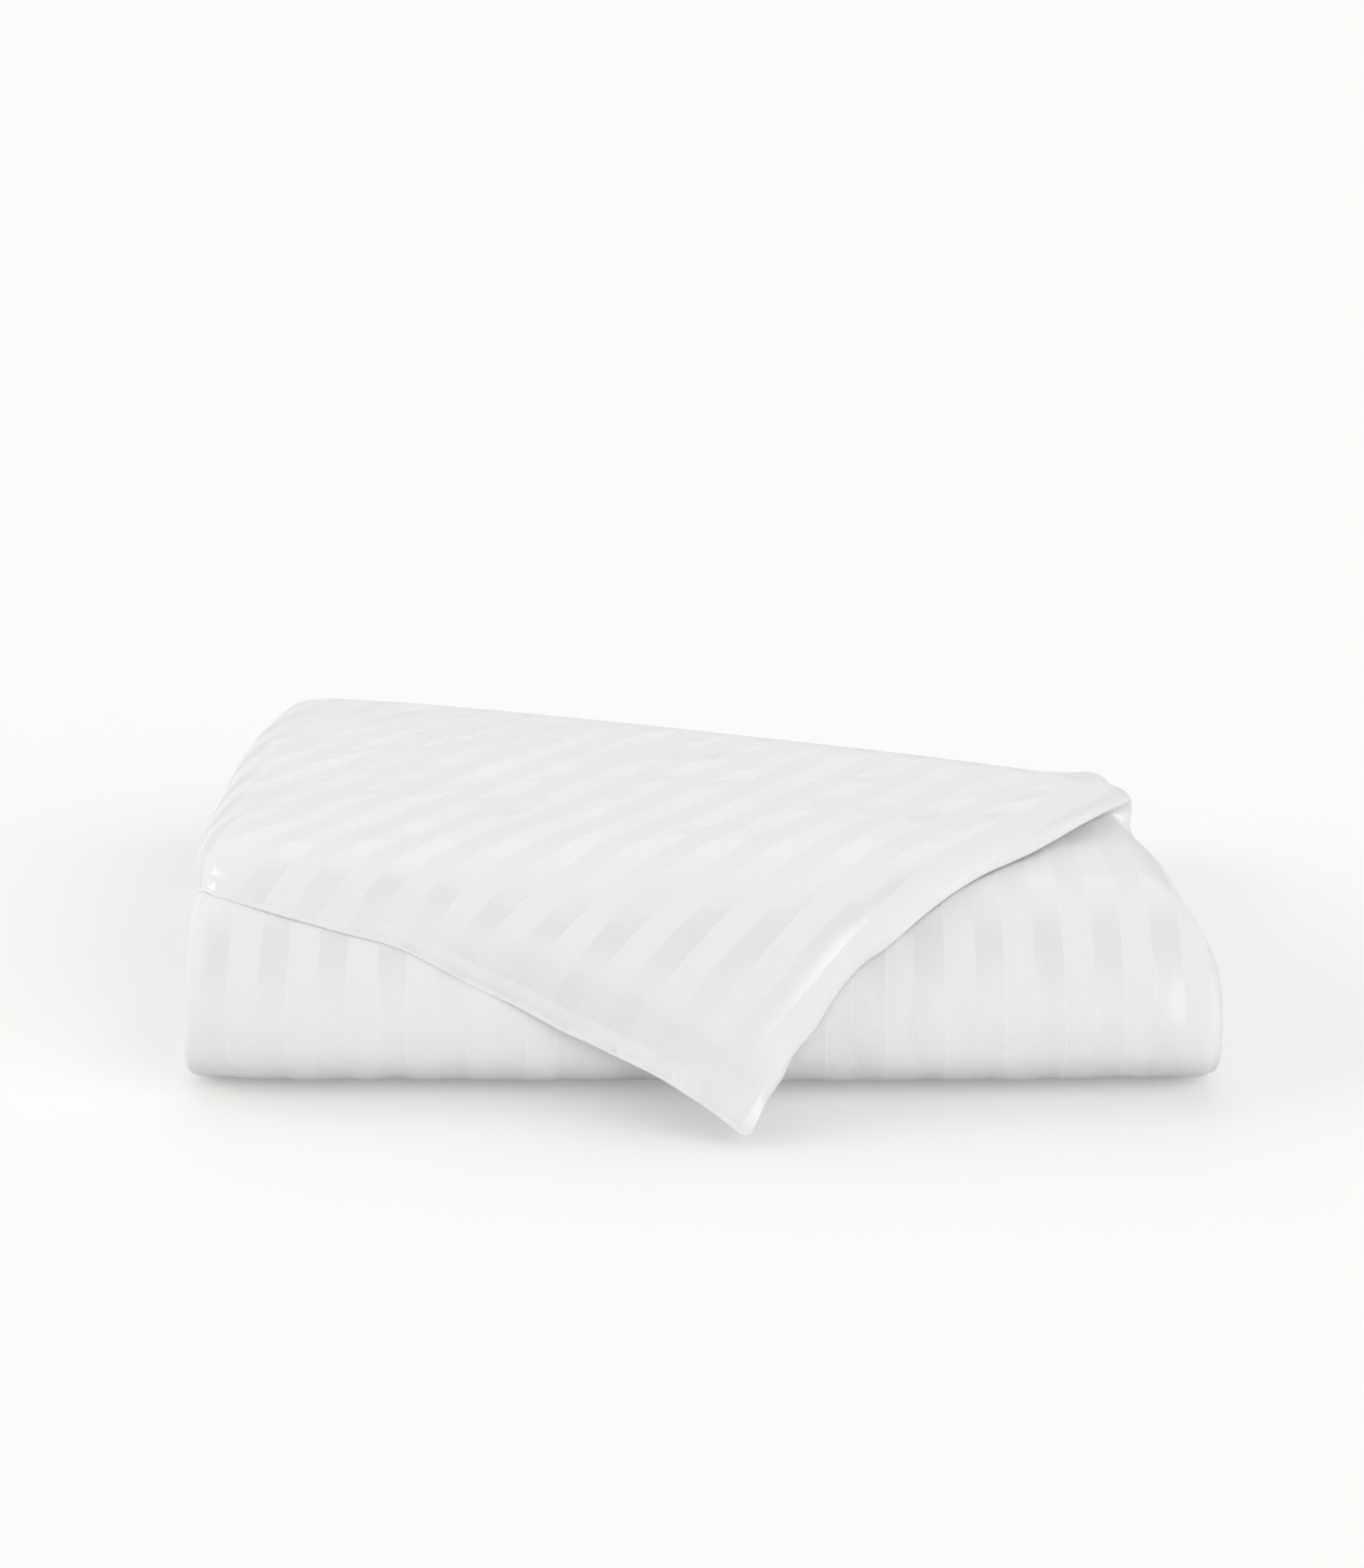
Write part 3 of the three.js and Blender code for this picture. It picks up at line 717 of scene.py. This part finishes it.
def flap_tail(heights, line_x, first, second, side, inset, full, face):
    """Rows round the slanted back fold, down from the turned layer and a little way into the top run."""
    turns = np.linspace(0, math.pi, FOLD_STEPS)[1:]
    out_radius = (heights.flap_z + heights.flap_half - (heights.top - heights.half)) / 2
    out_centre = heights.flap_z + heights.flap_half - out_radius
    in_radius = (heights.flap_z - heights.flap_half - heights.stack_top) / 2
    in_centre = heights.stack_top + in_radius
    points, firsts, seconds = [], [], []
    end_left, end_right = EDGES["top_back"]
    end_x = lerp(-end_left + EDGE_ROUND, end_right - EDGE_ROUND, side)
    end_x = end_x + EDGE_ROUND * (1 - inset) * np.where(side < 0.5, -1.0, 1.0)

    def round_fold(x, turn, radius, centre):
        out = radius * math.sin(turn)
        y = slanted_end(x) - heights.half
        z = centre + radius * math.cos(turn)
        return np.stack([x + math.sin(FOLD_SKEW) * out, y + math.cos(FOLD_SKEW) * out, z + 0 * x], -1)

    def ring(turn, share, thin, on):
        x = lerp(line_x, end_x, share)
        outer = round_fold(x, turn, out_radius, out_centre)
        inner = round_fold(x, turn, in_radius, in_centre)
        middle, reach = (outer + inner) / 2, (outer - inner) / 2
        length = np.linalg.norm(reach, axis=-1, keepdims=True)
        reach = reach / length * np.maximum(length * full[:, None] * thin, SEAM / 2)
        ringed = middle + reach * face[:, None]
        ringed[:, 1] -= on
        ringed[:, 2] *= crown(ringed[:, 0], ringed[:, 1])
        return bulge(ringed)

    for turn in turns:
        share = float(smooth(turn, 0, math.pi))
        points.append(ring(turn, share, 1, 0))
        firsts.append(first)
        seconds.append(second + out_radius * turn)
    for on, thin in TAIL_TUCKS:
        points.append(ring(math.pi, 1, thin, on))
        firsts.append(first)
        seconds.append(seconds[-1] + TAIL_STEP)
    return np.array(points), np.array(firsts), np.array(seconds)


def build_stitches(skin, hem_distance, face):
    """A row of fine stitches along the hem."""
    over = upper_steps(face)
    rows = hem_distance.shape[0]
    inner = range(STITCH_END_COLUMNS, over - STITCH_END_COLUMNS)
    line = np.array([
        [np.interp(STITCH_LINE, hem_distance[:, column], skin[:rows, column, axis]) for axis in range(3)]
        for column in inner
    ])
    before, after = STITCH_BETWEEN
    ahead = skin[after, inner] - skin[before, inner]
    run = np.gradient(line, axis=0)
    up = np.cross(run, ahead)
    up /= np.linalg.norm(up, axis=1, keepdims=True)
    length = np.concatenate([[0], np.cumsum(np.linalg.norm(np.diff(line, axis=0), axis=1))])
    shape = bmesh.new()
    for at in np.arange(STITCH_SPACING, length[-1] - STITCH_SPACING, STITCH_SPACING):
        ends = [
            Vector([np.interp(at + way * STITCH_LENGTH / 2, length, line[:, axis]) for axis in range(3)])
            for way in (-1, 1)
        ]
        normal = Vector([np.interp(at, length, up[:, axis]) for axis in range(3)]).normalized()
        along = (ends[1] - ends[0]).normalized()
        across = normal.cross(along)
        turned = Matrix((along, across, normal)).transposed().to_4x4()
        size = Matrix.Diagonal((STITCH_LENGTH / 2, STITCH_WIDTH, STITCH_HEIGHT, 1))
        place = Matrix.Translation((ends[0] + ends[1]) / 2) @ turned @ size
        bmesh.ops.create_icosphere(shape, subdivisions=1, radius=1, matrix=place)
    for one in shape.faces:
        one.smooth = True
    return finished("hem_stitches", shape)


# Materials


def group_input(group, name, kind, default):
    """An input of a node group, with its default."""
    socket = group.interface.new_socket(name, in_out="INPUT", socket_type=kind)
    socket.default_value = default


def group_outputs(group, *names):
    """Outputs of a node group, each a number."""
    for name in names:
        group.interface.new_socket(name, in_out="OUTPUT", socket_type="NodeSocketFloat")


def math_node(tree, operation, first, second=None, third=None):
    """A Math node, with each input a number or a socket, and its output."""
    node = tree.nodes.new("ShaderNodeMath")
    node.operation = operation
    for slot, value in enumerate((first, second, third)):
        if value is None:
            continue
        if isinstance(value, (int, float)):
            node.inputs[slot].default_value = value
        else:
            tree.links.new(value, node.inputs[slot])
    return node.outputs[0]


def stripe_group():
    """Satin stripes from the cloth coordinate across them: a mask, and a thin line at each stripe's edge."""
    group = bpy.data.node_groups.new("satin stripes", "ShaderNodeTree")
    group_input(group, "Across", "NodeSocketFloat", 0.0)
    group_input(group, "Stripe", "NodeSocketFloat", 0.02)
    group_input(group, "Start", "NodeSocketFloat", 0.0)
    group_outputs(group, "Satin", "Border")
    start = group.nodes.new("NodeGroupInput")
    end = group.nodes.new("NodeGroupOutput")
    place = math_node(group, "SUBTRACT", start.outputs["Across"], start.outputs["Start"])
    count = math_node(group, "DIVIDE", place, start.outputs["Stripe"])
    part = math_node(group, "FRACT", math_node(group, "MULTIPLY", count, 0.5))

    def inside(middle):
        """How far inside the stripe round this middle, in stripe pairs, and negative outside it."""
        away = math_node(group, "ABSOLUTE", math_node(group, "SUBTRACT", part, middle))
        return math_node(group, "SUBTRACT", 0.25, away)

    def off_edge(depth):
        return math_node(group, "MULTIPLY", math_node(group, "ABSOLUTE", depth), -BORDER_SHARPNESS)

    satin_inside, plain_inside = inside(0.75), inside(0.25)
    satin = group.nodes.new("ShaderNodeClamp")
    sharp = math_node(group, "MULTIPLY_ADD", satin_inside, STRIPE_SHARPNESS, 0.5)
    group.links.new(sharp, satin.inputs["Value"])
    group.links.new(satin.outputs[0], end.inputs["Satin"])
    nearest = math_node(group, "MAXIMUM", off_edge(satin_inside), off_edge(plain_inside))
    border = math_node(group, "ADD", nearest, 1.0)
    group.links.new(math_node(group, "MAXIMUM", border, 0.0), end.inputs["Border"])
    return group


def weave_group():
    """Fine sateen weave from the cloth coordinates: a height along the threads, and uneven threads."""
    group = bpy.data.node_groups.new("sateen weave", "ShaderNodeTree")
    group_input(group, "Cloth", "NodeSocketVector", (0, 0, 0))
    group_input(group, "Satin", "NodeSocketFloat", 0.0)
    group_outputs(group, "Height", "Slub")
    start = group.nodes.new("NodeGroupInput")
    end = group.nodes.new("NodeGroupOutput")

    def scaled(x, y):
        node = group.nodes.new("ShaderNodeVectorMath")
        node.operation = "MULTIPLY"
        group.links.new(start.outputs["Cloth"], node.inputs[0])
        node.inputs[1].default_value = (x, y, 1)
        return node.outputs[0]

    def cloud(vector, detail):
        node = group.nodes.new("ShaderNodeTexNoise")
        node.noise_dimensions = "2D"
        node.inputs["Scale"].default_value = 1.0
        node.inputs["Detail"].default_value = detail
        group.links.new(vector, node.inputs["Vector"])
        return node.outputs["Fac"]

    warp = cloud(scaled(*WARP_SCALE), 2)
    weft = cloud(scaled(*WEFT_SCALE), 2)
    mixed = group.nodes.new("ShaderNodeMix")
    group.links.new(start.outputs["Satin"], mixed.inputs["Factor"])
    group.links.new(weft, mixed.inputs["A"])
    group.links.new(warp, mixed.inputs["B"])
    crumple = cloud(scaled(*CRUMPLE_SCALE), 3)
    height = math_node(group, "MULTIPLY_ADD", crumple, CRUMPLE_SHARE, mixed.outputs["Result"])
    group.links.new(height, end.inputs["Height"])
    group.links.new(cloud(scaled(*SLUB_SCALE), 1), end.inputs["Slub"])
    return group


def new_material(name):
    """A material with its node tree and its Principled BSDF."""
    material = bpy.data.materials.new(name)
    material.use_nodes = True
    return material, material.node_tree, material.node_tree.nodes["Principled BSDF"]


def colour_mix(tree, share, one, other, blend="MIX"):
    """A mix of two colours, each a value or a socket, by a share that is a socket."""
    node = tree.nodes.new("ShaderNodeMix")
    node.data_type = "RGBA"
    node.blend_type = blend
    tree.links.new(share, node.inputs["Factor"])
    for name, value in (("A", one), ("B", other)):
        if isinstance(value, tuple):
            node.inputs[name].default_value = value
        else:
            tree.links.new(value, node.inputs[name])
    return node.outputs["Result"]


def bump(tree, relief, height, normal=None):
    """A bump of a strength and height, on top of another where one is given."""
    node = tree.nodes.new("ShaderNodeBump")
    node.inputs["Strength"].default_value, node.inputs["Distance"].default_value = relief
    tree.links.new(height, node.inputs["Height"])
    if normal is not None:
        tree.links.new(normal, node.inputs["Normal"])
    return node.outputs[0]


def sateen(settings):
    """White cotton sateen: dull plain stripes, satin ones with a soft gloss, and fine threads."""
    material, tree, shader = new_material("white striped sateen")
    cloth = tree.nodes.new("ShaderNodeUVMap")
    cloth.uv_map = "cloth"
    apart = tree.nodes.new("ShaderNodeSeparateXYZ")
    tree.links.new(cloth.outputs[0], apart.inputs[0])
    stripes = tree.nodes.new("ShaderNodeGroup")
    stripes.node_tree = stripe_group()
    tree.links.new(apart.outputs["X"], stripes.inputs["Across"])
    stripes.inputs["Stripe"].default_value = settings.stripe
    stripes.inputs["Start"].default_value = STRIPE_START
    weave = tree.nodes.new("ShaderNodeGroup")
    weave.node_tree = weave_group()
    tree.links.new(cloth.outputs[0], weave.inputs["Cloth"])
    tree.links.new(stripes.outputs["Satin"], weave.inputs["Satin"])
    satin, border = stripes.outputs["Satin"], stripes.outputs["Border"]
    colour = colour_mix(tree, satin, (*settings.plain_colour, 1), (*settings.satin_colour, 1))
    # Painted highlight: the line at each stripe's edge is mixed towards a lighter colour, as light catching
    # its ridge would show; the bump below gives that ridge as real relief
    colour = colour_mix(tree, math_node(tree, "MULTIPLY", border, BORDER_PAINTED_HIGHLIGHT), colour, BORDER_HIGHLIGHT_COLOUR)
    slubs = math_node(tree, "MULTIPLY", weave.outputs["Slub"], SLUB_SHARE)
    colour = colour_mix(tree, slubs, colour, SLUB_COLOUR, "MULTIPLY")
    tree.links.new(colour, shader.inputs["Base Color"])
    smoother = SATIN_ROUGHNESS - PLAIN_ROUGHNESS
    rough = math_node(tree, "MULTIPLY_ADD", satin, smoother, PLAIN_ROUGHNESS)
    tree.links.new(rough, shader.inputs["Roughness"])
    tree.links.new(math_node(tree, "MULTIPLY", satin, SATIN_COAT), shader.inputs["Coat Weight"])
    shader.inputs["Coat Roughness"].default_value = COAT_ROUGHNESS
    shader.inputs["Coat IOR"].default_value = COAT_IOR
    shader.inputs["Specular IOR Level"].default_value = CLOTH_SPECULAR
    shader.inputs["Sheen Weight"].default_value = CLOTH_SHEEN
    shader.inputs["Sheen Roughness"].default_value = SHEEN_ROUGHNESS
    woven = bump(tree, WEAVE_RELIEF, weave.outputs["Height"])
    striped = bump(tree, STRIPE_RELIEF, math_node(tree, "ADD", satin, border), woven)
    tree.links.new(striped, shader.inputs["Normal"])
    return material


def thread():
    """White sewing thread."""
    material, tree, shader = new_material("white sewing thread")
    place = tree.nodes.new("ShaderNodeTexCoord")
    twist = tree.nodes.new("ShaderNodeTexNoise")
    twist.inputs["Scale"].default_value = THREAD_TWIST
    tree.links.new(place.outputs["Object"], twist.inputs["Vector"])
    colour = colour_mix(tree, twist.outputs["Fac"], THREAD_DARK, THREAD_LIGHT)
    tree.links.new(colour, shader.inputs["Base Color"])
    shader.inputs["Roughness"].default_value = THREAD_ROUGHNESS
    return material


def shared_material(name, make):
    """The material of that name, made the first time that a piece asks for it."""
    return bpy.data.materials.get(name) or make()


# Floor, light and camera


def pale_floor(settings):
    """A wide pale floor that shows a little light of its own."""
    shape = bmesh.new()
    bmesh.ops.create_grid(shape, x_segments=1, y_segments=1, size=FLOOR_SIZE)
    mesh = bpy.data.meshes.new("pale_floor")
    shape.to_mesh(mesh)
    shape.free()
    floor = bpy.data.objects.new("pale_floor", mesh)
    bpy.context.scene.collection.objects.link(floor)
    material, tree, shader = new_material("pale floor")
    seen = tree.nodes.new("ShaderNodeLightPath").outputs["Is Camera Ray"]
    shader.inputs["Base Color"].default_value = (*settings.floor_colour, 1)
    shader.inputs["Roughness"].default_value = 1
    shader.inputs["Specular IOR Level"].default_value = 0
    shader.inputs["Emission Color"].default_value = (*settings.floor_colour, 1)
    glow = math_node(tree, "MULTIPLY", seen, settings.floor_glow)
    tree.links.new(glow, shader.inputs["Emission Strength"])
    mesh.materials.append(material)


def soft_dome(settings):
    """Even light from all round, darker overhead, and a plain backdrop that the camera sees instead."""
    world = bpy.data.worlds.new("soft dome")
    bpy.context.scene.world = world
    world.use_nodes = True
    tree = world.node_tree
    tree.nodes.clear()
    dome = tree.nodes.new("ShaderNodeBackground")
    dome.inputs["Color"].default_value = (1, 1, 1, 1)
    direction = tree.nodes.new("ShaderNodeTexCoord")
    apart = tree.nodes.new("ShaderNodeSeparateXYZ")
    tree.links.new(direction.outputs["Generated"], apart.inputs[0])
    height = math_node(tree, "MULTIPLY", apart.outputs["Z"], apart.outputs["Z"])
    strength = math_node(tree, "MULTIPLY_ADD", height, -settings.zenith * settings.dome, settings.dome)
    tree.links.new(strength, dome.inputs["Strength"])
    backdrop = tree.nodes.new("ShaderNodeBackground")
    backdrop.inputs["Color"].default_value = (*settings.backdrop_colour, 1)
    path = tree.nodes.new("ShaderNodeLightPath")
    mixed = tree.nodes.new("ShaderNodeMixShader")
    out = tree.nodes.new("ShaderNodeOutputWorld")
    tree.links.new(path.outputs["Is Camera Ray"], mixed.inputs["Fac"])
    tree.links.new(dome.outputs[0], mixed.inputs[1])
    tree.links.new(backdrop.outputs[0], mixed.inputs[2])
    tree.links.new(mixed.outputs[0], out.inputs["Surface"])


def soft_light(name, direction, strength, width):
    """A sun as wide as a large soft light."""
    light = bpy.data.lights.new(name, "SUN")
    light.energy = strength
    light.angle = math.radians(width)
    lamp = bpy.data.objects.new(name, light)
    bpy.context.scene.collection.objects.link(lamp)
    lamp.rotation_mode = "QUATERNION"
    lamp.rotation_quaternion = Vector(direction).to_track_quat("-Z", "Y")


def front_camera():
    """The camera, in front of the stack and a little above it."""
    lens = bpy.data.cameras.new("camera")
    lens.lens = CAMERA_LENS
    lens.sensor_width = CAMERA_SENSOR
    camera = bpy.data.objects.new("camera", lens)
    bpy.context.scene.collection.objects.link(camera)
    camera.location = Vector(CAMERA_AT) + stack_place()
    camera.rotation_euler = (math.pi / 2 - CAMERA_PITCH, 0, 0)
    bpy.context.scene.camera = camera


# Operators and panel


class COVER_OT_folded_stack(bpy.types.Operator):
    """Builds the folded stack of filled layers"""

    bl_idname = "cover.folded_stack"
    bl_label = "Folded Stack"

    def execute(self, context):
        settings = context.scene.cover
        piece = build_strip(settings)
        piece.data.materials.append(shared_material("white striped sateen", lambda: sateen(settings)))
        return {"FINISHED"}


class COVER_OT_turned_layer(bpy.types.Operator):
    """Builds the turned-down top layer, its back fold and the stitches of its hem"""

    bl_idname = "cover.turned_layer"
    bl_label = "Turned Layer"

    def execute(self, context):
        settings = context.scene.cover
        piece, (skin, hem_distance, face) = build_flap(settings)
        piece.data.materials.append(shared_material("white striped sateen", lambda: sateen(settings)))
        stitches = build_stitches(skin, hem_distance, face)
        stitches.data.materials.append(shared_material("white sewing thread", thread))
        return {"FINISHED"}


class COVER_OT_stage(bpy.types.Operator):
    """Builds the pale floor, the soft light and the camera"""

    bl_idname = "cover.stage"
    bl_label = "Floor, Light and Camera"

    def execute(self, context):
        settings = context.scene.cover_stage
        pale_floor(settings)
        soft_dome(settings)
        for name, (direction, width) in LIGHTS.items():
            soft_light(f"{name} light", direction, getattr(settings, name), width)
        front_camera()
        context.scene.view_settings.view_transform = "Standard"
        context.scene.view_settings.look = "None"
        return {"FINISHED"}


class COVER_PT_panel(bpy.types.Panel):
    """Lists the sizes and colours, and a button for each group of pieces"""

    bl_idname = "COVER_PT_panel"
    bl_label = "Duvet Cover"
    bl_space_type = "VIEW_3D"
    bl_region_type = "UI"
    bl_category = "Duvet Cover"

    def draw(self, context):
        for settings in (context.scene.cover, context.scene.cover_stage):
            for name in settings.__annotations__:
                self.layout.prop(settings, name)
        for operator in (COVER_OT_folded_stack, COVER_OT_turned_layer, COVER_OT_stage):
            self.layout.operator(operator.bl_idname)


CLASSES = (
    CoverSettings,
    StageSettings,
    COVER_OT_folded_stack,
    COVER_OT_turned_layer,
    COVER_OT_stage,
    COVER_PT_panel,
)


def register():
    for one in CLASSES:
        bpy.utils.register_class(one)
    bpy.types.Scene.cover = bpy.props.PointerProperty(type=CoverSettings)
    bpy.types.Scene.cover_stage = bpy.props.PointerProperty(type=StageSettings)


def unregister():
    del bpy.types.Scene.cover_stage
    del bpy.types.Scene.cover
    for one in reversed(CLASSES):
        bpy.utils.unregister_class(one)


def main():
    """Builds the cover and its stage."""
    register()
    bpy.ops.cover.folded_stack()
    bpy.ops.cover.turned_layer()
    bpy.ops.cover.stage()
    bpy.context.view_layer.update()


if __name__ == "__main__":
    main()
